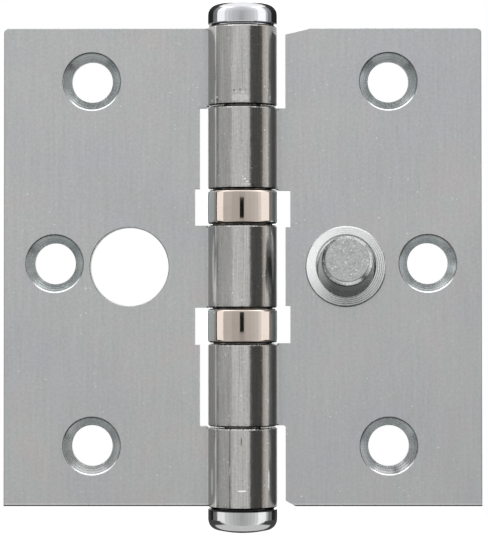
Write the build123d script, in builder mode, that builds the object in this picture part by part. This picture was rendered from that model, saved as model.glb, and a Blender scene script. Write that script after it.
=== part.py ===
"""Ball bearing butt hinge with five knuckles and a security stud, lying open flat.

The pin runs along Z and the origin is at its middle. The leaves lie in the XZ plane, behind the
pin's axis: their countersunk faces look towards -Y, as does the stud. The left leaf carries
the end knuckles and the centre one and grips the pin. The right leaf carries the other two knuckles
and runs on two thrust bearings, one above and one below the centre knuckle. Sizes are in millimetres.
"""

import math
import os

from build123d import *

# The leaves, pressed from one sheet each and rolled round the pin.
leaf_height = 89.0
leaf_reach = 44.5  # from the pin's axis to a leaf's outer edge
leaf_thickness = 3.0
closed_gap = 3.0  # between the leaves when the hinge is shut
corner_top = 0.9
corner_bottom = 0.3
edge_break = 0.15

# The pin and the barrel's lengths along it. The inner knuckles take what the others leave.
pin_radius = 3.4
running_clearance = 0.05
end_knuckle = 14.8
centre_knuckle = 15.3
bearing_height = 6.6
joint_gap = 0.2  # between two knuckles that meet with no bearing
knuckle_chamfer = 0.25
seam_gap = 0.2  # between the rolled end of a knuckle and the leaf
seam_round = 0.8
seam_lip = 0.3
neck_fillet = 3.0  # where the leaf's back runs up to the barrel

# Cut-outs in a leaf's inner edge, for the other leaf's knuckles and for the bearings.
knuckle_clear = 1.6
bearing_clear = 2.5
pocket_step = 0.3
pocket_round = 0.9
notch_round_left = 1.0
notch_round_right = 0.5
bevel_top_width = 4.6
bevel_top_height = 1.1
bevel_bottom_width = 1.8
bevel_bottom_height = 1.0

# Screw holes: an upper, a lower and a middle one in each leaf, all countersunk.
screw_radius = 3.82
sink_radius = 5.3
sink_angle = 90.0
screw_pitch = 67.9
screw_rise = 0.6  # of the pattern's middle above the leaf's
left_screw_x = 28.1
left_middle_x = 35.0
right_screw_x = 27.2
right_middle_x = 34.5

# The stud on the right leaf and the hole that it enters in the left one.
stud_x = 19.2
stud_height = 8.0  # from the leaf's face to the highest point of the tip
stud_lean = 11.0  # degrees, of the post towards the top, as the photographed one leans
stud_root_radius = 5.3
stud_tip_radius = 4.6
stud_tip_chamfer = 0.6
flange_radius = 7.5
flange_rim = 0.7
flange_rise = 0.85  # of the flange's cone from its rim to its middle, within the post
shank_radius = 4.0
rivet_radius = 5.0  # of the peened end, flush with the leaf's back
rivet_depth = 1.0
stud_hole_x = 21.1
stud_hole_radius = 7.3

# The caps, pressed on the pin's turned tails.
cap_radius = 6.45
cap_height = 4.75
cap_neck_height = 0.3
cap_neck_inset = 0.6
cap_corner = 2.1
cap_crown = 20.0
cap_chamfer = 0.15
tail_radius = 2.2
tail_length = 2.4
tail_chamfer = 0.3

# Each bearing: a drawn shell holding two grooved races and a full ring of balls.
shell_radius = 6.5
shell_wall = 0.45
shell_inset = 0.15  # of the shell's ends from the faces of the races
shell_top_bend = 0.15  # the inside corner, round which the wall bends
shell_bottom_bend = 0.12
lip_width = 0.95
race_bore_clear = 0.15  # round the pin
race_clear = 0.1  # between the shell and the race that turns in it
ball_side_clear = 0.06  # from a ball to the shell, and to the line of the races' bore
ball_clear = 0.05  # between a ball and its grooves
ball_gap = 0.05  # the least room between two balls
groove_depth = 0.5

# Places that follow from the sizes above.
barrel_radius = pin_radius + leaf_thickness
front = closed_gap / 2  # the leaves' countersunk face
back = front + leaf_thickness
half_height = leaf_height / 2
end_level = half_height - end_knuckle
centre_level = centre_knuckle / 2
bearing_level = centre_level + bearing_height
notch_x = barrel_radius + knuckle_clear
pocket_x = barrel_radius + bearing_clear
neck_x = math.sqrt(barrel_radius**2 - front**2)  # where the leaf's face meets the barrel
race_bore = pin_radius + race_bore_clear
shell_bore = shell_radius - shell_wall
ball_path = (race_bore + shell_bore) / 2
ball_radius = (shell_bore - race_bore) / 2 - ball_side_clear
ball_count = math.floor(math.pi / math.asin((ball_radius + ball_gap / 2) / ball_path))

LEFT, RIGHT = -1, 1


def leaf_plane(depth):
    """Plane parallel to the leaves at that Y, with X to the right, Z upwards and its normal to -Y."""
    return Plane(origin=(0, depth, 0), x_dir=(1, 0, 0), z_dir=(0, -1, 0))


def knuckle(side, bore, low, high):
    """One rolled knuckle from low to high, with the strip of sheet that leads into it from the leaf."""
    back_meets = side * math.sqrt(barrel_radius**2 - back**2)
    bore_meets = side * math.sqrt(bore**2 - front**2)
    lip_meets = side * math.sqrt(barrel_radius**2 - (front - seam_gap) ** 2)
    with BuildPart() as rolled:
        with BuildSketch(Plane.XY.offset(low)) as section:
            Circle(barrel_radius)
            with Locations((side * neck_x / 2, (front + back) / 2)):
                Rectangle(neck_x, leaf_thickness)
            fillet(section.vertices().sort_by_distance((back_meets, back))[0], neck_fillet)
            Circle(bore, mode=Mode.SUBTRACT)
            with Locations((side * barrel_radius / 2, front - seam_gap / 2)):
                Rectangle(barrel_radius + seam_gap, seam_gap, mode=Mode.SUBTRACT)
            fillet(section.vertices().sort_by_distance((bore_meets, front))[0], seam_round)
            fillet(
                section.vertices().sort_by_distance((lip_meets, front - seam_gap))[0], seam_lip
            )
        extrude(amount=high - low)
        rims = rolled.edges().filter_by(
            lambda e: e.geom_type == GeomType.CIRCLE and abs(e.radius - barrel_radius) < 1e-6
        )
        chamfer(rims, knuckle_chamfer)
    return rolled.part


def upper_and_lower(low, high):
    """A stretch of the barrel and its mirror image below the middle."""
    return [(low, high), (-high, -low)]


left_strips = [(-centre_level, centre_level), *upper_and_lower(end_level, half_height)]
right_strips = upper_and_lower(bearing_level, end_level - joint_gap)
left_knuckles = [knuckle(LEFT, pin_radius, low, high) for low, high in left_strips]
right_knuckles = [
    knuckle(RIGHT, pin_radius + running_clearance, low, high) for low, high in right_strips
]

with BuildPart() as left_leaf:
    with BuildSketch(leaf_plane(back)) as outline:
        with Locations((-(leaf_reach + neck_x) / 2, 0)):
            Rectangle(leaf_reach - neck_x, leaf_height)
        for level in (1, -1):
            notch_bottom = bearing_level + pocket_step
            with Locations((-notch_x, level * (notch_bottom + end_level) / 2)):
                Rectangle(
                    notch_x - neck_x,
                    end_level - notch_bottom,
                    align=(Align.MIN, Align.CENTER),
                    mode=Mode.SUBTRACT,
                )
            with Locations((-pocket_x, level * (centre_level + notch_bottom) / 2)):
                Rectangle(
                    pocket_x - neck_x,
                    notch_bottom - centre_level,
                    align=(Align.MIN, Align.CENTER),
                    mode=Mode.SUBTRACT,
                )
        outer, pocket, notch = outline.vertices().group_by(Axis.X)[:3]
        fillet(outer.sort_by(Axis.Y)[-1], corner_top)
        fillet(outer.sort_by(Axis.Y)[0], corner_bottom)
        fillet(pocket, pocket_round)
        fillet([notch.sort_by(Axis.Y)[0], notch.sort_by(Axis.Y)[-1]], notch_round_left)
    extrude(amount=leaf_thickness)
    rim = left_leaf.edges().filter_by(
        lambda e: e.center().X < -pocket_x and abs((e @ 0).Y - (e @ 1).Y) < 1e-6
    )
    chamfer(rim, edge_break)
    add(left_knuckles)
    with Locations(leaf_plane(front)):
        with Locations(
            (-left_screw_x, screw_rise + screw_pitch / 2),
            (-left_screw_x, screw_rise - screw_pitch / 2),
            (-left_middle_x, screw_rise),
        ):
            CounterSinkHole(screw_radius, sink_radius, counter_sink_angle=sink_angle)
        with Locations((-stud_hole_x, 0)):
            CounterSinkHole(stud_hole_radius, stud_hole_radius + edge_break)
left_leaf.part.label = "left_leaf"

with BuildPart() as right_leaf:
    with BuildSketch(leaf_plane(back)) as outline:
        with Locations(((leaf_reach + neck_x) / 2, 0)):
            Rectangle(leaf_reach - neck_x, leaf_height)
        strip_end = end_level - joint_gap
        pocket_bottom = centre_level - pocket_step
        with Locations((notch_x, 0)):
            Rectangle(
                notch_x - neck_x,
                2 * pocket_bottom,
                align=(Align.MAX, Align.CENTER),
                mode=Mode.SUBTRACT,
            )
        for level in (1, -1):
            with Locations((notch_x, level * (strip_end + half_height) / 2)):
                Rectangle(
                    notch_x - neck_x,
                    half_height - strip_end,
                    align=(Align.MAX, Align.CENTER),
                    mode=Mode.SUBTRACT,
                )
            with Locations((pocket_x, level * (pocket_bottom + bearing_level) / 2)):
                Rectangle(
                    pocket_x - neck_x,
                    bearing_level - pocket_bottom,
                    align=(Align.MAX, Align.CENTER),
                    mode=Mode.SUBTRACT,
                )
        outer = outline.vertices().group_by(Axis.X)[-1]
        pocket = outline.vertices().group_by(Axis.X)[-2]
        fillet(outer.sort_by(Axis.Y)[-1], corner_top)
        fillet(outer.sort_by(Axis.Y)[0], corner_bottom)
        fillet(pocket, pocket_round)
        fillet(
            outline.vertices().sort_by_distance((notch_x, -strip_end))[0], notch_round_right
        )
        for width, height, edge in (
            (bevel_top_width, bevel_top_height, half_height),
            (bevel_bottom_width, -bevel_bottom_height, -half_height),
        ):
            with BuildLine():
                Polyline(
                    (notch_x, edge), (notch_x + width, edge), (notch_x, edge - height), close=True
                )
            make_face(mode=Mode.SUBTRACT)
    extrude(amount=leaf_thickness)
    rim = right_leaf.edges().filter_by(
        lambda e: e.center().X > pocket_x + edge_break and abs((e @ 0).Y - (e @ 1).Y) < 1e-6
    )
    chamfer(rim, edge_break)
    add(right_knuckles)
    with Locations(leaf_plane(front)):
        with Locations(
            (right_screw_x, screw_rise + screw_pitch / 2),
            (right_screw_x, screw_rise - screw_pitch / 2),
            (right_middle_x, screw_rise),
        ):
            CounterSinkHole(screw_radius, sink_radius, counter_sink_angle=sink_angle)
    with Locations(leaf_plane(back).rotated((180, 0, 0))):
        with Locations((stud_x, 0)):
            CounterSinkHole(
                shank_radius,
                rivet_radius,
                counter_sink_angle=2 * math.degrees(math.atan2(rivet_radius - shank_radius, rivet_depth)),
            )
right_leaf.part.label = "right_leaf"

flange_top = flange_rim + flange_rise
lean = math.radians(stud_lean)
post_root = Plane(
    origin=(stud_x, front - flange_top, 0),
    x_dir=(1, 0, 0),
    z_dir=(0, -math.sin(lean), -math.cos(lean)),
)
tip_rise = (stud_tip_radius - stud_tip_chamfer) * math.sin(lean)
post_length = (stud_height - flange_top - tip_rise) / math.cos(lean)
post_taper = (stud_root_radius - stud_tip_radius) / post_length
post_sink = stud_root_radius * math.tan(lean) + flange_top

with BuildPart() as post:
    with BuildSketch(post_root) as half:
        with BuildLine():
            Polyline(
                (0, -post_sink),
                (stud_root_radius + post_sink * post_taper, -post_sink),
                (stud_tip_radius, post_length),
                (0, post_length),
                close=True,
            )
        make_face()
        tip_corner = half.vertices().sort_by_distance((stud_tip_radius, post_length))[0]
        chamfer(tip_corner, stud_tip_chamfer)
    revolve(axis=Axis(post_root.origin, post_root.y_dir))
    split(bisect_by=leaf_plane(front - flange_rim / 2), keep=Keep.TOP)

with BuildPart() as security_stud:
    with BuildSketch(Plane(origin=(stud_x, front, 0), x_dir=(1, 0, 0), z_dir=(0, 0, -1))) as half:
        with BuildLine():
            Polyline(
                (0, -leaf_thickness),
                (rivet_radius, -leaf_thickness),
                (shank_radius, rivet_depth - leaf_thickness),
                (shank_radius, 0),
                (flange_radius, 0),
                (flange_radius, flange_rim),
                (0, flange_top),
                close=True,
            )
        make_face()
        chamfer(half.vertices().sort_by_distance((flange_radius, flange_rim))[0], edge_break)
    revolve(axis=Axis((stud_x, 0, 0), (0, 1, 0)))
    add(post)
security_stud.part.label = "security_stud"

with BuildPart() as hinge_pin:
    Cylinder(pin_radius, leaf_height)
    Cylinder(tail_radius, leaf_height + 2 * tail_length)
    tail_ends = hinge_pin.edges().filter_by(GeomType.CIRCLE).group_by(Axis.Z)
    chamfer(tail_ends[0] + tail_ends[-1], tail_chamfer)
hinge_pin.part.label = "hinge_pin"


def end_cap(label, level):
    """Turned button on the barrel's top (level 1) or bottom (level -1), bored for the pin's tail."""
    top = half_height + cap_height
    corner_x = cap_radius - cap_corner
    corner_z = top - cap_crown + math.sqrt((cap_crown - cap_corner) ** 2 - corner_x**2)
    reach = cap_crown / (cap_crown - cap_corner)
    crown_edge = (corner_x * reach, top - cap_crown + (corner_z - top + cap_crown) * reach)
    flange_z = half_height + cap_neck_height
    with BuildPart() as cap:
        with BuildSketch(Plane.XZ):
            with BuildLine():
                Polyline(
                    (0, top),
                    (0, half_height + tail_length),
                    (tail_radius, half_height + tail_length),
                    (tail_radius, half_height),
                    (cap_radius - cap_neck_inset, half_height),
                    (cap_radius - cap_neck_inset, flange_z),
                    (cap_radius - cap_chamfer, flange_z),
                    (cap_radius, flange_z + cap_chamfer),
                    (cap_radius, corner_z),
                )
                RadiusArc((cap_radius, corner_z), crown_edge, -cap_corner)
                RadiusArc(crown_edge, (0, top), -cap_crown)
            make_face()
        revolve(axis=Axis.Z)
        if level < 0:
            mirror(about=Plane.XY, mode=Mode.REPLACE)
    cap.part.label = label
    return cap.part


def bearing_shell(label, low):
    """Drawn ring round a bearing that stands on level low, with a lip turned in at each end."""
    middle = low + bearing_height / 2
    height = bearing_height - 2 * shell_inset
    with BuildPart() as shell:
        with BuildSketch(Plane.XZ) as wall:
            with Locations((shell_radius, middle)):
                Rectangle(lip_width, height, align=(Align.MAX, Align.CENTER))
            with Locations((shell_bore, middle)):
                Rectangle(
                    lip_width - shell_wall,
                    height - 2 * shell_wall,
                    align=(Align.MAX, Align.CENTER),
                    mode=Mode.SUBTRACT,
                )
            for end, bend in ((1, shell_top_bend), (-1, shell_bottom_bend)):
                outside = (shell_radius, middle + end * height / 2)
                inside = (shell_bore, middle + end * (height / 2 - shell_wall))
                fillet(wall.vertices().sort_by_distance(outside)[0], bend + shell_wall)
                chamfer(wall.vertices().sort_by_distance(inside)[0], bend)
        revolve(axis=Axis.Z)
    shell.part.label = label
    return shell.part


def race(label, face, groove_side, clear):
    """Ring with its flat face on level face and its ball groove above (groove_side 1) or below it (-1)."""
    outer = shell_bore - clear
    hub = shell_radius - lip_width - clear
    shoulder = shell_inset + shell_wall + clear
    rim = bearing_height / 2 - ball_radius - ball_clear + groove_depth
    bend = shell_bottom_bend if groove_side > 0 else shell_top_bend
    upright = Plane(origin=(0, 0, face), x_dir=(1, 0, 0), z_dir=(0, -groove_side, 0))
    with BuildPart() as ring:
        with BuildSketch(upright) as half:
            with BuildLine():
                Polyline(
                    (race_bore, 0),
                    (hub, 0),
                    (hub, shoulder),
                    (outer, shoulder),
                    (outer, rim),
                    (race_bore, rim),
                    close=True,
                )
            make_face()
            chamfer(half.vertices().sort_by_distance((outer, shoulder))[0], bend)
            chamfer(half.vertices().sort_by_distance((race_bore, 0))[0], edge_break)
            with Locations((ball_path, bearing_height / 2)):
                Circle(ball_radius + ball_clear, mode=Mode.SUBTRACT)
        revolve(axis=Axis.Z)
    ring.part.label = label
    return ring.part


def ball(label, level, angle):
    """One ball of a bearing, on the ball path at that level and angle."""
    with BuildPart(Plane.XY.offset(level)) as sphere:
        with PolarLocations(ball_path, 1, start_angle=angle):
            Sphere(ball_radius)
    sphere.part.label = label
    return sphere.part


def bearing(place, low, bottom_clear, top_clear):
    """The pieces of a bearing that stands on level low; the clear race turns, the tight one doesn't."""
    high = low + bearing_height
    middle = (low + high) / 2
    return [
        bearing_shell(f"{place}_bearing_shell", low),
        race(f"{place}_bearing_bottom_race", low, 1, bottom_clear),
        race(f"{place}_bearing_top_race", high, -1, top_clear),
        *(
            ball(f"{place}_bearing_ball_{number + 1:02d}", middle, 360 * number / ball_count)
            for number in range(ball_count)
        ),
    ]


os.makedirs("parts", exist_ok=True)
for piece in (
    left_leaf.part,
    right_leaf.part,
    security_stud.part,
    hinge_pin.part,
    end_cap("top_cap", 1),
    end_cap("bottom_cap", -1),
    *bearing("upper", centre_level, 0, race_clear),
    *bearing("lower", -bearing_level, race_clear, 0),
):
    export_step(piece, f"parts/{piece.label}.step")
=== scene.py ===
"""A ball bearing butt hinge, open flat, dressed for a studio picture.

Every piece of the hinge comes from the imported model, in metres, with the pin along Z, the left leaf
towards -X and the leaves' inner faces towards -Y. This file gives each piece its finish, and makes
the room, the lights, the floor and the camera. Inside the materials lengths are in millimetres.
"""

import logging
import math
from dataclasses import dataclass, field
from enum import Enum
from typing import Any, Optional, Union

import bpy
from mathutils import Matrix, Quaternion, Vector

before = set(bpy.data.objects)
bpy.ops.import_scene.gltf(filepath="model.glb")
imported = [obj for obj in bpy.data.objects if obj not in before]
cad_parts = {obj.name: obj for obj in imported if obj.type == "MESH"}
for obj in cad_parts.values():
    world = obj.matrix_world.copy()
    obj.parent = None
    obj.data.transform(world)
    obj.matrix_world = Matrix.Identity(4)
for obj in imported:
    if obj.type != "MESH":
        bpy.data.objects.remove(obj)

LOG = logging.getLogger("hinge")
MM = 0.001

Point = tuple[float, float, float]
Colour = tuple[float, float, float]
Sockets = dict[Union[str, int], Any]

WHITE: Colour = (1.0, 1.0, 1.0)
SPECK: Colour = (0.9, 0.9, 0.9)  # a fleck of bare zinc that glints
REFLECTED_GREY: Colour = (0.94, 1.0, 0.98)  # a painted reflection of the grey leaves, where a ring's plating turns pale and cool at its sides
GREASE: Colour = (0.30, 0.24, 0.15)
ROOM_BLACK: Colour = (0.012, 0.013, 0.011)  # the lens and the flags, as the metal mirrors them
FLOOR_PAINT: Colour = (0.86, 0.86, 0.86)


# Shader graphs


class Value:
    """One number in a node graph, so that shader maths reads as Python arithmetic."""

    def __init__(self, graph: "Graph", socket: bpy.types.NodeSocket) -> None:
        """Keep the graph and the output socket that the number comes from."""
        self.graph = graph
        self.socket = socket

    def _math(self, operation: str, *operands: "Number") -> "Value":
        """Add one Math node.

        Args:
            operation: The Math node's operation.
            operands: The values of its sockets, in order.

        Returns:
            The node's result.
        """
        node = self.graph.node("ShaderNodeMath", {"operation": operation}, dict(enumerate(operands)))
        return Value(self.graph, node.outputs[0])

    def __add__(self, other: "Number") -> "Value":
        """self + other."""
        return self._math("ADD", self, other)

    def __radd__(self, other: "Number") -> "Value":
        """other + self."""
        return self._math("ADD", other, self)

    def __sub__(self, other: "Number") -> "Value":
        """self - other."""
        return self._math("SUBTRACT", self, other)

    def __rsub__(self, other: "Number") -> "Value":
        """other - self."""
        return self._math("SUBTRACT", other, self)

    def __mul__(self, other: "Number") -> "Value":
        """self * other."""
        return self._math("MULTIPLY", self, other)

    def __rmul__(self, other: "Number") -> "Value":
        """other * self."""
        return self._math("MULTIPLY", other, self)

    def __truediv__(self, other: "Number") -> "Value":
        """self / other."""
        return self._math("DIVIDE", self, other)

    def __rtruediv__(self, other: "Number") -> "Value":
        """other / self."""
        return self._math("DIVIDE", other, self)

    def __pow__(self, other: "Number") -> "Value":
        """self ** other."""
        return self._math("POWER", self, other)

    def __rpow__(self, other: "Number") -> "Value":
        """other ** self."""
        return self._math("POWER", other, self)

    def __abs__(self) -> "Value":
        """abs(self)."""
        return self._math("ABSOLUTE", self)

    def __gt__(self, other: "Number") -> "Value":
        """1 where self is greater than other, else 0."""
        return self._math("GREATER_THAN", self, other)

    def __lt__(self, other: "Number") -> "Value":
        """1 where self is less than other, else 0."""
        return self._math("LESS_THAN", self, other)

    def least(self, other: "Number") -> "Value":
        """The smaller of the two."""
        return self._math("MINIMUM", self, other)

    def most(self, other: "Number") -> "Value":
        """The larger of the two."""
        return self._math("MAXIMUM", self, other)

    def sine(self) -> "Value":
        """The sine of an angle in radians."""
        return self._math("SINE", self)

    def root(self) -> "Value":
        """The square root."""
        return self._math("SQRT", self)

    def rise(self, low: float, high: float) -> "Value":
        """A smooth step.

        Args:
            low: Where the step begins. It may be above high, and the step then falls.
            high: Where the step ends.

        Returns:
            0 before low, 1 past high, and a smooth ramp between them.
        """
        node = self.graph.node(
            "ShaderNodeMapRange",
            {"interpolation_type": "SMOOTHSTEP", "clamp": True},
            {"Value": self, "From Min": low, "From Max": high, "To Min": 0.0, "To Max": 1.0},
        )
        return Value(self.graph, node.outputs[0])

    def band(self, middle: float, half_width: float, soft: float) -> "Value":
        """1 within half_width of middle, and 0 from soft beyond that."""
        return abs(self - middle).rise(half_width + soft, half_width)


Number = Union[Value, float, int]


class Graph:
    """The node tree of one material or of the world."""

    def __init__(self, tree: bpy.types.NodeTree) -> None:
        """Start from an empty tree."""
        self.tree = tree
        self.tree.nodes.clear()

    def node(
        self,
        kind: str,
        settings: Optional[dict[str, Any]] = None,
        inputs: Optional[Sockets] = None,
    ) -> bpy.types.Node:
        """Add a node of any kind.

        Args:
            kind: The node's type.
            settings: Its own settings, set before its sockets. "stops" holds a ramp's stops.
            inputs: Values or links for its sockets, by name or number.

        Returns:
            The new node.
        """
        made = self.tree.nodes.new(kind)
        for name, value in (settings or {}).items():
            if name == "stops":
                self._set_stops(made.color_ramp, value)
            else:
                setattr(made, name, value)
        for name, value in (inputs or {}).items():
            source = value.socket if isinstance(value, Value) else value
            if isinstance(source, bpy.types.NodeSocket):
                self.tree.links.new(source, made.inputs[name])
            else:
                made.inputs[name].default_value = source
        return made

    @staticmethod
    def _set_stops(ramp: bpy.types.ColorRamp, stops: list[tuple[float, Any]]) -> None:
        """Give a colour ramp its stops.

        Args:
            ramp: The ramp.
            stops: Each stop's place, and its grey level or colour.
        """
        while len(ramp.elements) < len(stops):
            ramp.elements.new(1.0)
        for element, (place, colour) in zip(ramp.elements, stops):
            grey = isinstance(colour, (int, float))
            element.position = place
            element.color = (*((colour,) * 3 if grey else colour), 1.0)

    def ramp(self, value: Number, stops: list[tuple[float, Any]]) -> Value:
        """A value, or a colour through its socket, read from a ramp of stops."""
        node = self.node("ShaderNodeValToRGB", {"stops": stops}, {"Fac": value})
        return Value(self, node.outputs["Color"])

    def place(self) -> bpy.types.NodeSocket:
        """The point on the piece.

        Returns:
            A vector in millimetres, in the hinge's own frame.
        """
        coordinates = self.node("ShaderNodeTexCoord")
        scaled = self.node(
            "ShaderNodeMapping",
            None,
            {"Vector": coordinates.outputs["Object"], "Scale": (1 / MM,) * 3},
        )
        return scaled.outputs["Vector"]

    def parts(self, vector: bpy.types.NodeSocket) -> tuple[Value, Value, Value]:
        """The three numbers of a vector."""
        outputs = self.node("ShaderNodeSeparateXYZ", None, {0: vector}).outputs
        return Value(self, outputs[0]), Value(self, outputs[1]), Value(self, outputs[2])

    def stretched(self, vector: Any, scale: Point, shift: Point = (0.0, 0.0, 0.0)) -> Any:
        """The vector stretched by scale and moved by shift, for a pattern with a direction."""
        inputs = {"Vector": vector, "Location": shift, "Scale": scale}
        return self.node("ShaderNodeMapping", None, inputs).outputs["Vector"]

    def noise(self, vector: Any, scale: float, detail: float = 2.0, roughness: float = 0.5) -> Value:
        """Soft random values.

        Args:
            vector: The place.
            scale: How many waves to a millimetre.
            detail: How many finer layers it has.
            roughness: How strong the finer layers are.

        Returns:
            Values around a half.
        """
        node = self.node(
            "ShaderNodeTexNoise",
            {"noise_dimensions": "3D"},
            {"Vector": vector, "Scale": scale, "Detail": detail, "Roughness": roughness},
        )
        return Value(self, node.outputs[0])

    def specks(self, vector: Any, scale: float, share: float, radius: float) -> Value:
        """Scattered round dots.

        Args:
            vector: The place.
            scale: Cells to a millimetre.
            share: The share of the cells that hold a dot.
            radius: A dot's radius, in cells.

        Returns:
            1 in a dot, else 0.
        """
        cells = self.node("ShaderNodeTexVoronoi", {"feature": "F1"}, {"Vector": vector, "Scale": scale})
        chance, _, _ = self.parts(cells.outputs["Color"])
        distance = Value(self, cells.outputs["Distance"])
        return (chance > 1.0 - share) * distance.rise(radius, radius * 0.6)

    def mix(self, factor: Number, first: Any, second: Any) -> Value:
        """A colour between two colours.

        Args:
            factor: 0 for the first colour, 1 for the second.
            first: A colour, or what a colour comes from.
            second: The same.

        Returns:
            The mixed colour.
        """
        sides = [(*side, 1.0) if isinstance(side, tuple) else side for side in (first, second)]
        node = self.node("ShaderNodeMix", {"data_type": "RGBA"}, {0: factor, 6: sides[0], 7: sides[1]})
        return Value(self, node.outputs[2])

    def tint(self, colour: Any, strength: Number) -> Value:
        """A colour made lighter or darker by a number."""
        node = self.node("ShaderNodeVectorMath", {"operation": "SCALE"}, {0: colour, "Scale": strength})
        return Value(self, node.outputs[0])

    def bump(self, height: Value) -> Value:
        """A normal bent by a height in millimetres."""
        node = self.node("ShaderNodeBump", None, {"Height": height, "Distance": MM, "Strength": 1.0})
        return Value(self, node.outputs["Normal"])


# Finishes


@dataclass(frozen=True)
class Metal:
    """A bare or plated metal, and what all such finishes share.

    Attributes:
        name: The material's name.
        colour: How much light it reflects, face on.
        roughness: Its mean roughness.
    """

    name: str
    colour: Colour
    roughness: float

    def make(self) -> bpy.types.Material:
        """Build the material.

        Returns:
            The material.
        """
        material = bpy.data.materials.new(self.name)
        material.use_nodes = True
        graph = Graph(material.node_tree)
        surface = graph.node("ShaderNodeBsdfPrincipled", None, {"Metallic": 1.0, **self.look(graph)})
        graph.node("ShaderNodeOutputMaterial", None, {"Surface": surface.outputs[0]})
        return material

    def look(self, graph: Graph) -> Sockets:
        """The values of the surface's sockets; each finish has its own."""
        raise NotImplementedError


@dataclass(frozen=True)
class KnockLight:
    """One small knock or rub on a rolled knuckle, painted as a highlight where gain is above zero and
    as shade where it is below.

    Attributes:
        x: Its middle, across the hinge.
        z: Its middle, up the hinge.
        half_width: Half of its width.
        half_height: Half of its height.
        gain: How much lighter its painted highlight is than the metal round it; below zero, how dark
            its painted shade is.
    """

    x: float
    z: float
    half_width: float
    half_height: float
    gain: float


@dataclass(frozen=True)
class GalvanisedSheet(Metal):
    """Zinc on pressed sheet, burnished where it is rolled round the pin.

    Attributes:
        holes: The middles of the screw holes, in x and z.
        knuckles: The z of the lower and the upper end of each knuckle.
        marks: The knocks and rubs on the knuckles, as painted highlights and shade.
        hole_radius: The radius of a screw hole.
        sink_radius: The radius of its countersink at the face.
        face_level: The y of the inner face.
        back_level: The y of the back.
        barrel: The radius of the rolled knuckles.
        reach: How far the leaf goes from the pin's axis.
        half_height: Half of the leaf's height.
        shade_x: The middle of the dark band that each knuckle shows, a reflection of a dim light, whose
            brown tint and bright flecks are painted.
        shade_half: Half of that band's width.
        cutter_pitch: The spacing of the cutter's rings in a countersink.
        reflection_line: The x of a painted bright line down each knuckle's front, standing in for a
            reflection.
        reflection_edge: The x of a painted dark line on the lowest knuckle's front, where a reflected
            light ends.
        worn_depth: How deep each knuckle's upper edge is worn.
        foot_light_height: How far the painted highlight and shadow along the lower edge are from the
            leaf's foot.
    """

    holes: tuple[tuple[float, float], ...]
    knuckles: tuple[tuple[float, float], ...]
    marks: tuple[KnockLight, ...]
    hole_radius: float = 3.82
    sink_radius: float = 5.3
    face_level: float = 1.5
    back_level: float = 4.5
    barrel: float = 6.5
    reach: float = 44.5
    half_height: float = 44.5
    shade_x: float = 3.7
    shade_half: float = 0.8
    cutter_pitch: float = 0.42
    reflection_line: float = -4.92
    reflection_edge: float = -2.32
    worn_depth: float = 0.06
    foot_light_height: float = 0.36

    def look(self, graph: Graph) -> Sockets:
        """Rolled grain and faint blotches, bright knuckles, turned countersinks and sheared edges, with
        painted reflections, highlights and shade on the knuckles, the countersinks and the lower edge.

        Args:
            graph: The material's graph.

        Returns:
            The values of the surface's sockets.
        """
        place = graph.place()
        x, y, z = graph.parts(place)
        on_barrel = abs(x).rise(self.barrel + 0.35, self.barrel - 0.1)
        grain = graph.noise(graph.stretched(place, (2.2, 2.2, 0.1)), 1.0, 3.0, 0.55)
        cloud = graph.noise(place, 0.045, 2.0)
        patches = graph.noise(graph.stretched(place, (1.0, 1.0, 1.0), (61.0, 17.0, 5.0)), 0.3, 3.0)
        mottle = graph.noise(place, 1.9, 4.0, 0.65)
        pitted = graph.noise(graph.stretched(place, (1.0, 1.0, 0.55)), 1.7, 3.0, 0.6)
        spots = graph.specks(place, 1.1, 0.3, 0.22)
        dots = graph.specks(place, 1.2, 0.26, 0.15) * patches.rise(0.48, 0.6)
        dots = dots.most(graph.specks(place, 0.55, 0.07, 0.09))
        cone, rings, rim, rim_tone = self._countersinks(graph, x, y, z)
        edge, shear = self._sheared_edge(graph, place, x, y, z)
        rolled_tone = self._barrel_tone(graph, place, x, y, z)

        tone = (
            0.69
            + 0.18 * grain
            + 0.14 * (cloud - 0.5)
            + 0.41 * mottle
            + 0.09 * spots
            + on_barrel * rolled_tone
            - 0.12 * cone * rings
            + rim_tone
            - edge * (0.18 + 0.34 * shear)
            + (1.0 - on_barrel) * self._foot_tone(z)
        ).most(0.03)
        cool, warm = self._hue(0.985, 1.0, 1.03), self._hue(1.02, 0.995, 0.985)
        clouded = graph.mix(cloud.rise(0.35, 0.65), cool, warm)
        tinted = graph.mix(patches.rise(0.4, 0.6), clouded, self._hue(0.975, 1.01, 0.995))
        rolled = graph.mix(0.85 * on_barrel, tinted, self._hue(1.03, 1.01, 0.965))
        in_shade = on_barrel * self._shade(x) * y.rise(0.2, -0.2)
        # Painted brown tint in the dark reflected band on the knuckles.
        reflection_tinted = graph.mix(0.8 * in_shade, rolled, self._hue(1.1, 1.02, 0.93))
        sunk = graph.mix(cone * z.rise(-44.0, -24.0), reflection_tinted, self._hue(0.975, 1.03, 1.025))
        spotted = graph.mix(0.75 * dots, graph.tint(sunk, tone), SPECK)

        roughness = (
            self.roughness
            + 0.12 * (mottle - 0.5)
            - on_barrel * (self.roughness - 0.17)
            - 0.1 * cone
            + 0.16 * edge * shear
        )
        height = (
            (1.0 - on_barrel) * 0.004 * mottle
            + on_barrel * (0.0105 * pitted + 0.0025 * mottle)
            + on_barrel * self._worn_tops(graph, place, z)
            + 0.0014 * grain
            + cone * 0.004 * rings
            + 0.003 * dots
            + 0.0012 * spots
            + rim
        )
        return {"Base Color": spotted, "Roughness": roughness, "Normal": graph.bump(height)}

    def _shade(self, x: Value) -> Value:
        """Where each knuckle shows its dark band, a reflection whose brown tint and flecks are painted.
        """
        return x.band(self.shade_x, self.shade_half, 0.4)

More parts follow.
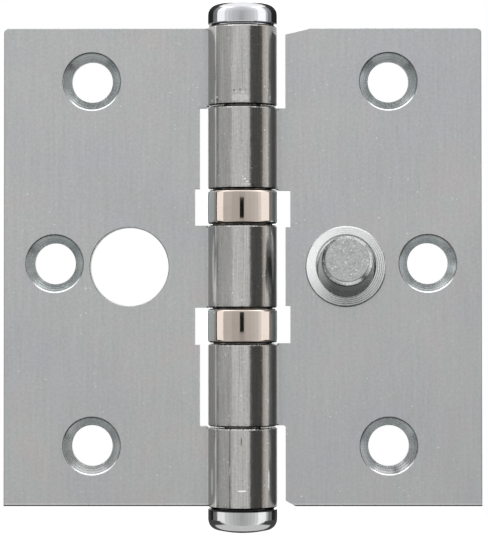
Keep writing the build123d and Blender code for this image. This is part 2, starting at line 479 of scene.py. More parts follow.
    def _hue(self, red: float, green: float, blue: float) -> Colour:
        """The sheet's colour, leaning towards a hue."""
        return self.colour[0] * red, self.colour[1] * green, self.colour[2] * blue

    def _foot_tone(self, z: Value) -> Value:
        """A painted highlight along the leaf's lower edge and a painted shadow below it."""
        level = -self.half_height + self.foot_light_height
        return 0.5 * z.band(level, 0.05, 0.06) - 0.8 * z.rise(level - 0.06, level - 0.14)

    def _barrel_tone(self, graph: Graph, place: Any, x: Value, y: Value, z: Value) -> Value:
        """What the rolling and the use of the hinge left on the knuckles, and the painted reflections,
        highlights and shade on them.

        Args:
            graph: The material's graph.
            place: The place as a vector.
            x: The place across the hinge.
            y: The place through the sheet.
            z: The place up the hinge.

        Returns:
            How much lighter or darker than the sheet the knuckle is.
        """
        along = graph.noise(graph.stretched(place, (0.8, 0.8, 0.16)), 1.0, 3.0)
        streaks = graph.noise(graph.stretched(place, (4.0, 4.0, 0.12)), 1.0, 2.0)
        in_front = y.rise(0.2, -0.2)
        # Painted reflections on the knuckles' fronts: a bright line, a painted dark line beside it, a
        # painted dark line where a reflected light ends, and a bright band with a dark edge at the
        # left.
        reflection_line = x.band(self.reflection_line, 0.06, 0.1) * along.rise(0.25, 0.45)
        beside = x.band(self.reflection_line + 0.37, 0.1, 0.12) * along.rise(0.62, 0.42)
        reflection_edge = x.band(self.reflection_edge, 0.05, 0.1) * along.rise(0.56, 0.46) * z.rise(-26.0, -32.0)
        left_reflection = 0.26 * x.band(-5.4, 0.35, 0.25) - 0.3 * x.rise(-6.0, -6.25)
        pits = graph.specks(place, 1.9, 0.32, 0.24) - 0.8 * graph.specks(place, 1.6, 0.24, 0.24)
        end_patches = graph.noise(place, 2.6, 3.0, 0.7).rise(0.5, 0.62)
        tone = -0.07 + 0.5 * (streaks - 0.5) + 0.24 * pits
        tone = tone + in_front * (left_reflection + reflection_line - 0.3 * beside - 0.55 * reflection_edge)
        # Painted bright flecks within the dark reflected band.
        tone = tone + 2.4 * in_front * self._shade(x) * graph.specks(place, 1.7, 0.13, 0.2)
        for foot, top in self.knuckles:
            # Painted shadow in the gap at each knuckle's foot, and a painted highlight along its upper
            # edge.
            tone = tone - 1.1 * z.band(foot + 0.06, 0.15, 0.05) + 0.45 * z.band(top - 0.13, 0.1, 0.06)
            # Darker in patches towards each knuckle's ends.
            tone = tone - 0.45 * end_patches * (z.band(foot, 0.25, 0.7) + 0.4 * z.band(top, 0.1, 0.7))
        # Painted highlights and shade of the knocks and rubs.
        for mark in self.marks:
            reach = ((x - mark.x) / mark.half_width) ** 2.0 + ((z - mark.z) / mark.half_height) ** 2.0
            tone = tone + mark.gain * in_front * reach.rise(1.0, 0.35)
        return tone

    def _worn_tops(self, graph: Graph, place: Any, z: Value) -> Value:
        """The wear of each knuckle's upper edge.

        Args:
            graph: The material's graph.
            place: The place as a vector.
            z: The place up the hinge.

        Returns:
            The height that the wear adds, which is below zero.
        """
        uneven = graph.noise(graph.stretched(place, (0.9, 0.9, 0.2)), 1.0, 2.0).rise(0.3, 0.55)
        worn: Number = 0.0
        for _, top in self.knuckles:
            worn = worn + z.rise(top - 0.48, top - 0.26) * z.rise(top + 0.1, top + 0.05)
        return -self.worn_depth * (0.7 + 0.3 * uneven) * worn

    def _countersinks(
        self, graph: Graph, x: Value, y: Value, z: Value
    ) -> tuple[Value, Value, Value, Value]:
        """The turned cones of the screw holes, and the painted shade and highlights on them.

        Args:
            graph: The material's graph; not used.
            x: The place along the leaf.
            y: The place through the sheet.
            z: The place up the hinge.

        Returns:
            Where a cone is, the cutter's rings from 0 to 1, the height of the rim's soft edge, and how
            much lighter the painted shade and highlight make the cone and the rim than the sheet.
        """
        nearest: Number = 100.0
        right: Number = 0.0
        above: Number = 0.0
        for hole_x, hole_z in self.holes:
            across, up = x - hole_x, z - hole_z
            away = (across ** 2.0 + up ** 2.0).root()
            here = away.rise(self.sink_radius + 1.0, self.sink_radius + 0.6)
            nearest = away.least(nearest)
            right = right + here * across / away
            above = above + here * up / away
        below_face = y.rise(self.face_level + 0.01, self.face_level + 0.06)
        in_sink = y.rise(self.back_level - 0.2, self.back_level - 0.4)
        cone = in_sink * nearest.rise(self.sink_radius + 0.12, self.sink_radius - 0.02) * (
            nearest.rise(self.hole_radius + 0.01, self.hole_radius + 0.05)
        )
        rings = 0.5 + 0.5 * (nearest * (math.tau / self.cutter_pitch)).sine()
        rim = 0.09 * (1.0 - below_face) * nearest.rise(self.sink_radius - 0.02, self.sink_radius + 0.22)
        line = in_sink * nearest.band(self.sink_radius + 0.02, 0.06, 0.07)
        # Painted shade along the top and right of each countersink's rim, and a painted highlight along
        # its bottom.
        rim_shade = line * (0.38 * right + 0.92 * above).rise(-0.3, 0.05)
        glint = line * (0.13 * right - 0.99 * above).rise(0.5, 0.75)
        # Painted shading on each cone: lighter at its left and right sides, darker in its lower half.
        cone_tone = cone * (0.4 * right ** 2.0 - 0.3 * (0.0 - above).most(0.0))
        return cone, rings, rim, cone_tone + 0.9 * glint - 0.75 * rim_shade

    def _sheared_edge(
        self, graph: Graph, place: Any, x: Value, y: Value, z: Value
    ) -> tuple[Value, Value]:
        """The cut edges of the blank, smooth near the face and torn towards the back.

        Args:
            graph: The material's graph.
            place: The place as a vector.
            x: The place along the leaf.
            y: The place through the sheet.
            z: The place up the hinge.

        Returns:
            Where a cut edge is, and how torn it is there.
        """
        outline = abs(x).rise(self.reach - 0.12, self.reach - 0.04).most(
            abs(z).rise(self.half_height - 0.12, self.half_height - 0.04)
        )
        through = (y - self.face_level) / (self.back_level - self.face_level)
        wander = graph.noise(place, 0.6, 2.0)
        torn = (through + 0.5 * (wander - 0.5)).rise(0.42, 0.5)
        streaks = graph.noise(graph.stretched(place, (5.0, 0.5, 5.0)), 1.0, 2.0)
        return outline, torn * (0.5 + streaks)


@dataclass(frozen=True)
class TurnedZinc(Metal):
    """Zinc on a turned piece, with the cutter's rings about its axis, and a post that leans.

    Attributes:
        centre_x: Where its axis is.
        root_level: The y at which the post's axis leaves the flange's.
        lean: How far the post leans upwards, in degrees.
        post_length: The post's length from there.
        post_radius: The post's radius at the flange.
        flange_level: The y that parts the flange from the post.
        flange_radius: The flange's radius.
        pitch: The spacing of the flange's rings.
        post_pitch: The spacing of the lines round the post.
        shade_ring_at: How far along the post its painted dark ring is.
        highlight_ring_at: How far along the post its painted bright edge is.
    """

    centre_x: float
    root_level: float = -0.05
    lean: float = 11.0
    post_length: float = 5.79
    post_radius: float = 5.35
    flange_level: float = 0.5
    flange_radius: float = 7.5
    pitch: float = 0.36
    post_pitch: float = 0.7
    shade_ring_at: float = 4.85
    highlight_ring_at: float = 5.4

    def look(self, graph: Graph) -> Sockets:
        """Rings on the flange, a speckled tip, and fine lines round the post, with painted light and
        shade on the flange and the post.

        Args:
            graph: The material's graph.

        Returns:
            The values of the surface's sockets.
        """
        place = graph.place()
        x, y, z = graph.parts(place)
        across = x - self.centre_x
        away = (across ** 2.0 + z ** 2.0).root()
        turn = math.radians(self.lean)
        along = (self.root_level - y) * math.cos(turn) + z * math.sin(turn)
        wobble = graph.noise(place, 0.8, 2.0)
        rings = 0.5 + 0.5 * (away * (math.tau / self.pitch) + 3.0 * wobble).sine()
        turned = 0.5 + 0.5 * (along * (math.tau / self.post_pitch) + 2.0 * wobble).sine()
        speckle = graph.noise(place, 3.0, 4.0, 0.7)
        dots = graph.specks(place, 2.0, 0.24, 0.3)
        on_tip = along.rise(self.post_length - 0.12, self.post_length - 0.04)
        on_flange = y.rise(self.flange_level - 0.25, self.flange_level)
        on_post = (1.0 - on_tip) * (1.0 - on_flange)
        to_left = (self.centre_x - x) / away
        to_top = z / away
        below = (0.0 - to_top).most(0.0)
        # Painted light on the flange: lighter at its sides, most to the left, and darker below.
        lit = 0.1 + 0.34 * to_left.most(0.0) + 0.1 * (0.0 - to_left).most(0.0) - 0.42 * below
        # Painted shadow in a ring round the post's foot on the flange.
        outline = (across ** 2.0 + (z - 0.35) ** 2.0).root().band(self.post_radius + 0.15, 0.1, 0.14)
        # Painted shade on the post's wall: darker to the left and the top, lighter on its lower side
        # towards the tip, with a painted dark ring and a painted bright edge near the tip.
        wall = 0.4 * along.rise(1.4, 2.6) * below - 0.6 * to_left.most(0.0) - 0.25 * to_top.most(0.0)
        wall = wall - 1.1 * along.band(self.shade_ring_at, 0.2, 0.2)
        wall = wall + 0.5 * along.band(self.highlight_ring_at, 0.12, 0.1) * speckle.rise(0.5, 0.6)
        # Painted shadow along the flange's lower edge.
        rim_shade = 0.5 * away.band(self.flange_radius - 0.05, 0.07, 0.1) * to_top.rise(-0.2, -0.6)
        # A painted dark line where the post rises from the flange.
        root = (across ** 2.0 + (z + 0.1) ** 2.0).root().band(self.post_radius + 0.02, 0.06, 0.1)
        tone = (
            0.9
            + (0.3 + 0.75 * on_tip + 0.4 * on_flange) * (speckle - 0.5)
            + on_flange * (0.07 * (rings - 0.5) + lit - 0.4 * root - 0.7 * outline - rim_shade)
            + on_post * (0.14 * (turned - 0.5) + wall)
            - 0.33 * on_tip
        ).most(0.05)
        bright = graph.mix(0.6 * on_tip * dots, graph.tint(self.colour, tone), SPECK)
        roughness = self.roughness + 0.14 * (speckle - 0.5) + 0.06 * on_tip - 0.08 * on_post
        height = (
            on_flange * 0.016 * rings
            + on_post * 0.006 * turned
            + 0.005 * speckle * (0.4 + on_tip)
            + 0.004 * dots * on_tip
        )
        return {"Base Color": bright, "Roughness": roughness, "Normal": graph.bump(height)}


@dataclass(frozen=True)
class PolishedPlate(Metal):
    """Bright plating on a ring or cap that is turned about the pin.

    Attributes:
        joint_shadows: The z of each joint where a painted shadow line lies.
        joint_shadow_half: Half of the height of a painted shadow line.
        middle: The z of the piece's middle.
        crown: How much lower the wall's two ends are than its middle.
        half_height: Half of the piece's height.
        reflection_from: How far to each side of the pin the plating is painted pale and cool, a painted
            reflection of the grey leaves.
        smudge: How much duller the touched places are.
        wave: The height of the plating's slight unevenness.
    """

    joint_shadows: tuple[float, ...] = ()
    joint_shadow_half: float = 0.1
    middle: float = 0.0
    crown: float = 0.0
    half_height: float = 3.15
    reflection_from: float = 100.0
    smudge: float = 0.05
    wave: float = 0.0006

    def look(self, graph: Graph) -> Sockets:
        """Nearly a mirror, with faint smudges, polishing lines round the pin, a slow waviness, painted
        shadow lines at the joints and a painted reflection at the sides.

        Args:
            graph: The material's graph.

        Returns:
            The values of the surface's sockets.
        """
        place = graph.place()
        x, _, z = graph.parts(place)
        lines = graph.noise(graph.stretched(place, (0.12, 0.12, 7.0)), 1.0, 2.0)
        touched = graph.noise(place, 0.35, 3.0, 0.6).rise(0.45, 0.75)
        slow = graph.noise(place, 0.5, 1.0)
        tone = 0.96 + 0.08 * (lines - 0.5) + 0.05 * (slow - 0.5) - 0.05 * touched
        # Painted shadow in the gaps at the joints.
        for level in self.joint_shadows:
            tone = tone * (1.0 - 0.95 * z.band(level, self.joint_shadow_half, 0.05))
        roughness = self.roughness + self.smudge * touched + 0.03 * (lines - 0.5)
        height = self.wave * 4.0 * slow + self.wave * lines
        if self.crown:
            height = height - self.crown * ((z - self.middle) / self.half_height) ** 2.0
        # A painted reflection: the plating turns pale and cool towards the sides.
        pale = abs(x).rise(self.reflection_from, self.reflection_from + 0.25)
        plating = graph.mix(pale, graph.tint(self.colour, tone), graph.tint(REFLECTED_GREY, tone))
        return {"Base Color": plating, "Roughness": roughness, "Normal": graph.bump(height)}


@dataclass(frozen=True)
class GroundSteel(Metal):
    """Hardened or drawn steel with fine marks from the stone, and a film of grease in patches.

    Attributes:
        marks: How the marks are stretched along x, y and z.
    """

    marks: Point = (6.0, 6.0, 0.4)

    def look(self, graph: Graph) -> Sockets:
        """Fine ground marks, with darker, shinier patches of grease.

        Args:
            graph: The material's graph.

        Returns:
            The values of the surface's sockets.
        """
        place = graph.place()
        fine = graph.noise(graph.stretched(place, self.marks), 1.0, 3.0, 0.6)
        grease = graph.noise(place, 0.7, 2.0).rise(0.5, 0.62)
        colour = graph.mix(
            0.55 * grease,
            graph.tint(self.colour, 0.88 + 0.24 * fine),
            graph.tint(GREASE, 0.8 + 0.4 * fine),
        )
        roughness = self.roughness + 0.14 * (fine - 0.5) - 0.08 * grease
        return {"Base Color": colour, "Roughness": roughness, "Normal": graph.bump(0.003 * fine)}


# The hinge


@dataclass
class Part:
    """Some CAD pieces that belong together."""

    def dress(self) -> None:
        """Give every piece its finish; each part has its own."""
        raise NotImplementedError

    def nodes(self) -> list[str]:
        """The names of the part's pieces."""
        raise NotImplementedError

    def give(self, finish: Metal, *names: str) -> None:
        """Put one finish on some pieces.

        Args:
            finish: The finish to build.
            names: The pieces that wear it.
        """
        material = finish.make()
        for name in names:
            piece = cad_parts[name]
            piece.data.materials.clear()
            piece.data.materials.append(material)
            LOG.info("%s wears %s", name, finish.name)


class Side(Enum):
    """Which leaf, by where it lies from the pin."""

    LEFT = -1
    RIGHT = 1


# Painted highlights and shade of the knocks and rubs on the knuckles.
LEFT_KNOCK_LIGHTS = (
    KnockLight(-0.07, -41.1, 1.0, 0.17, 1.0),
    KnockLight(-5.62, -39.6, 0.2, 2.8, 3.0),
    KnockLight(4.85, -39.3, 0.16, 2.2, 2.2),
    KnockLight(-0.2, -32.1, 0.13, 0.9, -0.6),
    KnockLight(-5.59, 30.5, 0.2, 0.3, 1.3),
    KnockLight(-4.67, 31.1, 0.28, 0.16, 0.8),
    KnockLight(-4.67, 30.55, 0.24, 0.17, -0.5),
    KnockLight(-0.35, 30.8, 2.0, 0.9, 0.22),
    KnockLight(-1.5, 32.2, 0.24, 0.2, -0.4),
    KnockLight(-1.1, 31.9, 0.2, 0.16, 0.5),
    KnockLight(-0.4, 32.3, 0.22, 0.2, -0.4),
    KnockLight(0.1, 31.8, 0.3, 0.16, 0.5),
    KnockLight(0.6, 32.3, 0.2, 0.2, -0.35),
    KnockLight(5.1, 31.0, 0.12, 0.5, 1.0),
)
RIGHT_KNOCK_LIGHTS = (
    KnockLight(0.45, 15.95, 0.3, 0.16, 0.6),
    KnockLight(0.9, 15.45, 0.3, 0.17, 0.7),
    KnockLight(1.3, 14.95, 0.3, 0.17, 0.7),
    KnockLight(0.6, 14.95, 0.7, 0.32, 0.25),
    KnockLight(1.95, 14.85, 0.2, 0.35, -0.5),
    KnockLight(0.1, 16.4, 0.16, 0.16, 0.5),
    KnockLight(2.5, 18.2, 0.14, 0.14, 0.7),
    KnockLight(-3.1, -16.2, 0.2, 0.5, 0.3),
)


@dataclass
class Leaf(Part):
    """One leaf with its rolled knuckles.

    Attributes:
        side: Which leaf it is.
        outer_hole: How far from the pin the upper and lower screw holes are.
        middle_hole: How far from the pin the middle screw hole is.
        knuckles: The z of the lower and the upper end of each of its knuckles.
        marks: The knocks and rubs on its knuckles, as painted highlights and shade.
        colour: Its zinc's colour.
        pitch: The distance between the upper and the lower hole.
        raised: How much higher than the leaf's middle the holes are.
    """

    side: Side
    outer_hole: float
    middle_hole: float
    knuckles: tuple[tuple[float, float], ...]
    marks: tuple[KnockLight, ...]
    colour: Colour
    pitch: float = 67.9
    raised: float = 0.6

    def nodes(self) -> list[str]:
        """The leaf's one piece."""
        return [f"{self.side.name.lower()}_leaf"]

    def holes(self) -> tuple[tuple[float, float], ...]:
        """The places of the screw holes.

        Returns:
            The x and z of each one's middle.
        """
        way = self.side.value
        return (
            (way * self.outer_hole, self.raised + self.pitch / 2),
            (way * self.middle_hole, self.raised),
            (way * self.outer_hole, self.raised - self.pitch / 2),
        )

    def dress(self) -> None:
        """Galvanise the sheet."""
        name = self.nodes()[0]
        self.give(
            GalvanisedSheet(f"{name}_zinc", self.colour, 0.36, self.holes(), self.knuckles, self.marks),
            name,
        )


@dataclass
class Stud(Part):
    """The security stud.

    Attributes:
        centre_x: Where its axis is.
    """

    centre_x: float = 19.2

    def nodes(self) -> list[str]:
        """The stud's one piece."""
        return ["security_stud"]

    def dress(self) -> None:
        """Turn and plate it."""
        zinc = TurnedZinc("stud_zinc", (0.66, 0.67, 0.672), 0.28, centre_x=self.centre_x)
        self.give(zinc, *self.nodes())


@dataclass
class CappedPin(Part):
    """The pin and the cap on each end of it.

    Attributes:
        caps: The names of the two caps.
    """

    caps: tuple[str, str] = ("top_cap", "bottom_cap")

    def nodes(self) -> list[str]:
        """The pin and both caps."""
        return ["hinge_pin", *self.caps]

    def dress(self) -> None:
        """Polish the caps and leave the pin as drawn."""
        chrome = PolishedPlate(
            "top_chrome", (0.74, 0.745, 0.77), 0.06, joint_shadows=(44.72,), joint_shadow_half=0.07
        )
        worn = PolishedPlate(
            "bottom_chrome", (0.66, 0.667, 0.665), 0.08,
            joint_shadows=(-44.64, -44.86), joint_shadow_half=0.14, smudge=0.1, wave=0.0012,
        )
        drawn = GroundSteel("pin_steel", (0.5, 0.49, 0.48), 0.3, marks=(7.0, 7.0, 0.3))
        for finish, name in zip((chrome, worn, drawn), (*self.caps, "hinge_pin")):
            self.give(finish, name)


@dataclass
class Bearing(Part):
    """One ball thrust bearing in its shell.

    Attributes:
        where: "upper" or "lower".
        balls: How many balls are in the ring.
        level: How far the bearing's middle is from the hinge's, in millimetres.
    """

    where: str
    balls: int = 12
    level: float = 10.95

    def shell(self) -> str:
        """The name of the bright ring round the bearing."""
        return f"{self.where}_bearing_shell"

    def nodes(self) -> list[str]:
        """The shell, both races and every ball."""
        return [self.shell(), *self._races(), *self._balls()]

    def _races(self) -> list[str]:
        """The names of the two grooved rings."""
        return [f"{self.where}_bearing_{end}_race" for end in ("top", "bottom")]

    def _balls(self) -> list[str]:
        """The names of the balls."""
        return [f"{self.where}_bearing_ball_{number:02d}" for number in range(1, self.balls + 1)]

    def dress(self) -> None:
        """Polish the shell, and grind the races and the balls."""
        middle = self.level if self.where == "upper" else -self.level
        nickel = PolishedPlate(
            f"{self.where}_shell_nickel", (0.74, 0.645, 0.575), 0.06,
            joint_shadows=(middle - 3.03, middle + 3.14), joint_shadow_half=0.17,
            middle=middle, crown=0.165, reflection_from=5.1,
        )
        # The races are coloured nearly black, as painted shade where they show in the gaps at the
        # joints.
        ground = GroundSteel(
            f"{self.where}_race_steel", (0.1, 0.098, 0.095), 0.3, marks=(1.0, 1.0, 8.0)
        )
        lapped = GroundSteel(
            f"{self.where}_ball_steel", (0.66, 0.66, 0.67), 0.12, marks=(3.0, 3.0, 3.0)
        )
        self.give(nickel, self.shell())
        self.give(ground, *self._races())
        self.give(lapped, *self._balls())


# The studio


class Lit(Enum):
    """Which pieces a light shines on, by their finish."""

    SATIN = "satin"
    CAPS = "caps"
    SHELLS = "shells"
    BRIGHT = "caps and shells"


def direction(azimuth: float, elevation: float) -> Vector:
    """The way from the hinge's middle towards a place round it.

    Args:
        azimuth: Its azimuth in radians, from the front towards +X.
        elevation: Its elevation in radians.

    Returns:
        A vector of length 1.
    """
    flat = math.cos(elevation)
    return Vector((math.sin(azimuth) * flat, -math.cos(azimuth) * flat, math.sin(elevation)))


@dataclass
class Softbox:
    """A flat light that faces the hinge.

    Attributes:
        name: Its name.
        lit: The pieces that it shines on.
        azimuth: The left and right edges in degrees, from the front towards +X.
        elevation: The lower and upper edges in degrees.
        radiance: How bright its face is, where 1 is white.
        distance: How far away it is, in metres.
        tilted: Whether it leans to face the hinge's middle; the others hang upright.
    """

    name: str
    lit: Lit
    azimuth: tuple[float, float]
    elevation: tuple[float, float]
    radiance: float
    distance: float = 1.2
    tilted: bool = False

    def build(self, receivers: bpy.types.Collection) -> bpy.types.Object:
        """Hang the light, lighting only some pieces.

        Args:
            receivers: The pieces that it lights.

        Returns:
            The lamp's object.
        """
        across = math.radians(sum(self.azimuth) / 2)
        half_across = math.radians(self.azimuth[1] - self.azimuth[0]) / 2
        low, high = (math.radians(edge) for edge in self.elevation)
        up = (low + high) / 2 if self.tilted else 0.0
        facing = direction(across, up)
        lamp = bpy.data.lights.new(self.name, "AREA")
        lamp.shape = "RECTANGLE"
        lamp.size = 2 * self.distance * math.tan(half_across)
        if self.tilted:
            lamp.size_y = 2 * self.distance * math.tan((high - low) / 2)
            raised = 0.0
        else:
            lamp.size_y = self.distance * (math.tan(high) - math.tan(low))
            raised = self.distance * (math.tan(high) + math.tan(low)) / 2
        lamp.energy = self.radiance * math.pi * lamp.size * lamp.size_y
        thing = bpy.data.objects.new(self.name, lamp)
        bpy.context.scene.collection.objects.link(thing)
        thing.location = facing * self.distance + Vector((0.0, 0.0, raised))
        thing.rotation_mode = "QUATERNION"
        thing.rotation_quaternion = (-facing).to_track_quat("-Z", "Y")
        thing.visible_camera = False
        thing.light_linking.receiver_collection = receivers
        LOG.info("softbox %s, %.2f m wide", self.name, lamp.size)
        return thing


def softboxes(
    name: str,
    lit: Lit,
    elevation: tuple[float, float],
    start: float,
    steps: list[tuple[float, float]],
) -> list[Softbox]:
    """A row of upright softboxes side by side.

    Args:
        name: What their names begin with.
        lit: The pieces that they shine on.
        elevation: Their lower and upper edges in degrees.
        start: The azimuth of the row's left end.
        steps: The radiance of each box and the azimuth of its right edge.

    Returns:
        The softboxes, from left to right.
    """
    row = []
    for number, (radiance, finish) in enumerate(steps, 1):
        row.append(Softbox(f"{name}_{number}", lit, (start, finish), elevation, radiance))
        start = finish
    return row


@dataclass
class Studio:
    """The room, the lights, the floor and the camera.

    Attributes:
        floor_level: The floor's height, in metres.
        floor_front: The y of its front edge, in metres.
        floor_back: The y of its back edge, in metres.
        floor_side: How far it goes to each side, in metres.
        floor_lift: How much brighter the camera sees it, so that it is white in the picture.
        floor_sun: The strength of the light that falls on it.
        floor_dim: How much darker the metal sees it, as if black cards lay round the hinge.
        card_glow: How bright the white card right under the hinge looks to the metal.
        card_half: Half of the card's width, in millimetres.
        card_back: How far the card goes behind the pin, in millimetres.
        sun_way: The way that the floor's light shines.
        sun_spread: The angle over which that light is spread, in degrees.
        backdrop: How near straight back the white backdrop begins, as a cosine.
        flags: How much of the room's light the black flags beside the backdrop take.
        camera_azimuth: The camera's place round the hinge, in degrees.
        camera_elevation: How far above the horizon it is, in degrees.
        camera_distance: Its distance from where it looks, in metres.
        camera_roll: How far it is turned about its own axis, in degrees.
        focal: The lens, in millimetres.
        sensor: The sensor's width, in millimetres.
        clip: The nearest and the farthest that the camera sees, in metres.
        aim: Where it looks, in metres.
        boxes: The softboxes, in groups by what they light.
    """

    floor_level: float = -0.25
    floor_front: float = -0.16
    floor_back: float = 2.2
    floor_side: float = 1.6
    floor_lift: float = 0.42
    floor_sun: float = 1.8
    floor_dim: float = 0.88
    card_glow: float = 0.7
    card_half: float = 260.0
    card_back: float = 160.0
    sun_way: Point = (-0.1, 0.35, -1.0)
    sun_spread: float = 35.0
    backdrop: float = 0.982
    flags: float = 0.8
    camera_azimuth: float = 0.4
    camera_elevation: float = -1.0
    camera_distance: float = 0.42
    camera_roll: float = -0.03
    focal: float = 152.1
    sensor: float = 36.0
    clip: tuple[float, float] = (0.01, 200.0)
    aim: Point = (0.00026, 0.0, -0.00027)
    boxes: list[Softbox] = field(default_factory=lambda: [
        *softboxes("satin_left", Lit.SATIN, (-45.0, 55.0), -140.0, [
            (0.8, -104.0), (0.54, -80.0), (0.64, -36.0),
        ]),
        Softbox("front_key", Lit.SATIN, (-36.0, 24.5), (-22.0, 48.0), 0.97),
        *softboxes("satin_right", Lit.SATIN, (-45.0, 60.0), 24.5, [
            (0.065, 70.5), (0.7, 82.0), (0.92, 97.0), (0.6, 150.0),
        ]),
        Softbox("back_fill", Lit.SATIN, (150.0, 220.0), (-55.0, 60.0), 0.8),
        Softbox("high_front", Lit.SATIN, (-45.0, 40.0), (48.0, 74.0), 2.2, tilted=True),
        Softbox("overhead", Lit.SATIN, (-40.0, 40.0), (74.0, 125.0), 2.2, tilted=True),
        *softboxes("cap", Lit.CAPS, (-57.0, 55.0), -114.0, [
            (0.16, -92.0), (1.2, -61.0), (0.8, -46.0), (0.67, -33.0), (0.59, -20.0), (0.54, -8.5),
            (0.5, 5.0), (0.53, 17.0), (0.6, 29.0), (0.69, 41.0), (0.85, 53.0), (1.3, 84.0), (0.6, 93.0),
            (0.2, 112.0),
        ]),
        *softboxes("shell_left", Lit.SHELLS, (-45.0, 62.0), -93.0, [
            (1.15, -66.0), (0.58, -36.0), (0.5, -8.5),
        ]),
        *softboxes("shell_right", Lit.SHELLS, (-45.0, 62.0), 5.0, [
            (0.5, 12.0), (0.55, 29.0), (0.6, 41.0), (0.66, 54.0), (0.85, 64.0), (1.15, 104.0),
        ]),
        Softbox("above_lens", Lit.SHELLS, (-8.5, 5.0), (9.4, 62.0), 0.5),
        Softbox("below_lens", Lit.SHELLS, (-8.5, 5.0), (-45.0, -5.7), 0.44),
        Softbox("ceiling", Lit.BRIGHT, (-42.0, 42.0), (58.0, 118.0), 0.85, tilted=True),
        Softbox("rear", Lit.BRIGHT, (165.0, 195.0), (-40.0, 60.0), 1.6),
    ])

    def build(self, groups: dict[Lit, list[str]]) -> None:
        """Set up everything round the hinge.

        Args:
            groups: The pieces of each group that some light shines on.
        """
        self._room()
        self._floor()
        receivers: dict[Lit, bpy.types.Collection] = {}
        for lit, pieces in groups.items():
            receivers[lit] = bpy.data.collections.new(f"lit_{lit.name.lower()}")
            for piece in pieces:
                receivers[lit].objects.link(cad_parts[piece])
        for box in self.boxes:
            box.build(receivers[box.lit])
        self._camera()

    def _room(self) -> None:
        """A quiet grey room with a white backdrop behind the hinge; the camera sees only white."""
        world = bpy.data.worlds.new("studio_room")
        world.use_nodes = True
        bpy.context.scene.world = world
        graph = Graph(world.node_tree)
        across, behind, up = graph.parts(graph.node("ShaderNodeTexCoord").outputs["Generated"])
        heights = [(0.0, 0.05), (0.36, 0.04), (0.5, 0.045), (0.66, 0.1), (0.86, 0.3), (1.0, 0.4)]
        walls = graph.ramp(0.5 + 0.5 * up, heights)
        lens = abs(across + 0.03).rise(0.17, 0.15) * abs(up).rise(0.26, 0.22) * behind.rise(-0.8, -0.9)
        flags = self.flags * behind.rise(0.25, 0.4) * behind.rise(0.96, 0.92)
        dim = graph.mix(lens.most(flags), walls, ROOM_BLACK)
        room = graph.mix(behind.rise(self.backdrop, self.backdrop + 0.006), dim, WHITE)
        path = graph.node("ShaderNodeLightPath")
        straight = Value(graph, path.outputs["Is Camera Ray"]).most(
            Value(graph, path.outputs["Is Transmission Ray"])
        )
        seen = graph.mix(straight, room, WHITE)
        background = graph.node("ShaderNodeBackground", None, {"Color": seen, "Strength": 1.0})
        graph.node("ShaderNodeOutputWorld", None, {"Surface": background.outputs[0]})
        LOG.info("room ready")

    def _floor(self) -> None:
        """A pale table top, white to the camera where no shadow falls, and the sun that lights it."""
        bpy.ops.object.select_all(action="DESELECT")
        middle = (self.floor_front + self.floor_back) / 2
        bpy.ops.mesh.primitive_plane_add(size=1.0, location=(0.0, middle, self.floor_level))
        floor = bpy.context.active_object
        floor.name = "studio_floor"
        floor.scale = (2 * self.floor_side, self.floor_back - self.floor_front, 1.0)
        bpy.ops.object.transform_apply(location=True, rotation=True, scale=True)
        material = bpy.data.materials.new("pale_floor")
        material.use_nodes = True
        graph = Graph(material.node_tree)
        place = graph.place()
        cloud = graph.noise(place, 0.004, 2.0)
        across, behind, _ = graph.parts(place)
        path = graph.node("ShaderNodeLightPath")
        straight = Value(graph, path.outputs["Is Camera Ray"])
        mirrored = Value(graph, path.outputs["Is Glossy Ray"])
        shade = (0.98 + 0.04 * cloud) * (1.0 - self.floor_dim * mirrored)
        paint = graph.node("ShaderNodeBsdfDiffuse", None, {"Color": graph.tint(FLOOR_PAINT, shade)})
        card = abs(across).rise(self.card_half + 70.0, self.card_half)
        card = card * behind.rise(self.card_back + 60.0, self.card_back)
        lift = self.floor_lift * straight + self.card_glow * card * mirrored
        glow = graph.node("ShaderNodeEmission", None, {"Color": (*WHITE, 1.0), "Strength": lift})
        both = graph.node("ShaderNodeAddShader", None, {0: paint.outputs[0], 1: glow.outputs[0]})
        graph.node("ShaderNodeOutputMaterial", None, {"Surface": both.outputs[0]})
        floor.data.materials.append(material)
        receivers = bpy.data.collections.new("floor_only")
        receivers.objects.link(floor)
        data = bpy.data.lights.new("floor_sun", "SUN")
        data.energy = self.floor_sun
        data.angle = math.radians(self.sun_spread)
        sun = bpy.data.objects.new("floor_sun", data)
        bpy.context.scene.collection.objects.link(sun)
        sun.rotation_mode = "QUATERNION"
        sun.rotation_quaternion = Vector(self.sun_way).to_track_quat("-Z", "Y")
        sun.light_linking.receiver_collection = receivers
        LOG.info("floor at %.3f m", self.floor_level)

    def _camera(self) -> None:
        """The camera, a little below the hinge's middle and nearly square on."""
        across, up = math.radians(self.camera_azimuth), math.radians(self.camera_elevation)
        back = direction(across, up)
        data = bpy.data.cameras.new("hinge_camera")
        data.lens = self.focal
        data.sensor_width = self.sensor
        data.clip_start, data.clip_end = self.clip
        camera = bpy.data.objects.new("hinge_camera", data)
        bpy.context.scene.collection.objects.link(camera)
        camera.location = Vector(self.aim) + back * self.camera_distance
        camera.rotation_mode = "QUATERNION"
        roll = Quaternion((0.0, 0.0, 1.0), math.radians(self.camera_roll))
        camera.rotation_quaternion = (-back).to_track_quat("-Z", "Y") @ roll
        bpy.context.scene.camera = camera
        LOG.info("camera %.3f m away", self.camera_distance)


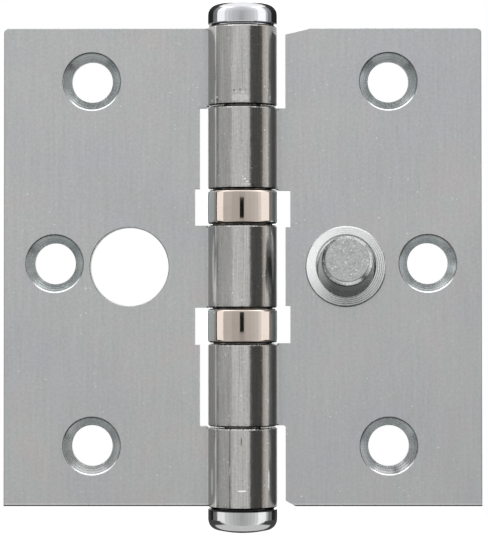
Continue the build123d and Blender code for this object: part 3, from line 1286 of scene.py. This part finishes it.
def main() -> None:
    """Dress every piece, then build the studio."""
    logging.basicConfig(level=logging.INFO, format="%(message)s")
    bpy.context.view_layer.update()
    left_knuckles = ((29.7, 44.5), (-7.65, 7.65), (-44.5, -29.7))
    right_knuckles = ((14.25, 29.5), (-29.5, -14.25))
    leaves = [
        Leaf(Side.LEFT, 28.1, 35.0, left_knuckles, LEFT_KNOCK_LIGHTS, (0.455, 0.457, 0.46)),
        Leaf(Side.RIGHT, 27.2, 34.5, right_knuckles, RIGHT_KNOCK_LIGHTS, (0.464, 0.465, 0.47)),
    ]
    stud = Stud()
    pin = CappedPin()
    bearings = [Bearing("upper"), Bearing("lower")]
    for part in (*leaves, stud, pin, *bearings):
        part.dress()
    satin = [name for part in (*leaves, stud) for name in part.nodes()]
    caps = pin.nodes()
    shells = [name for bearing in bearings for name in bearing.nodes()]
    groups = {Lit.SATIN: satin, Lit.CAPS: caps, Lit.SHELLS: shells, Lit.BRIGHT: [*caps, *shells]}
    Studio().build(groups)
    bpy.context.scene.view_settings.view_transform = "Standard"


if __name__ == "__main__":
    main()
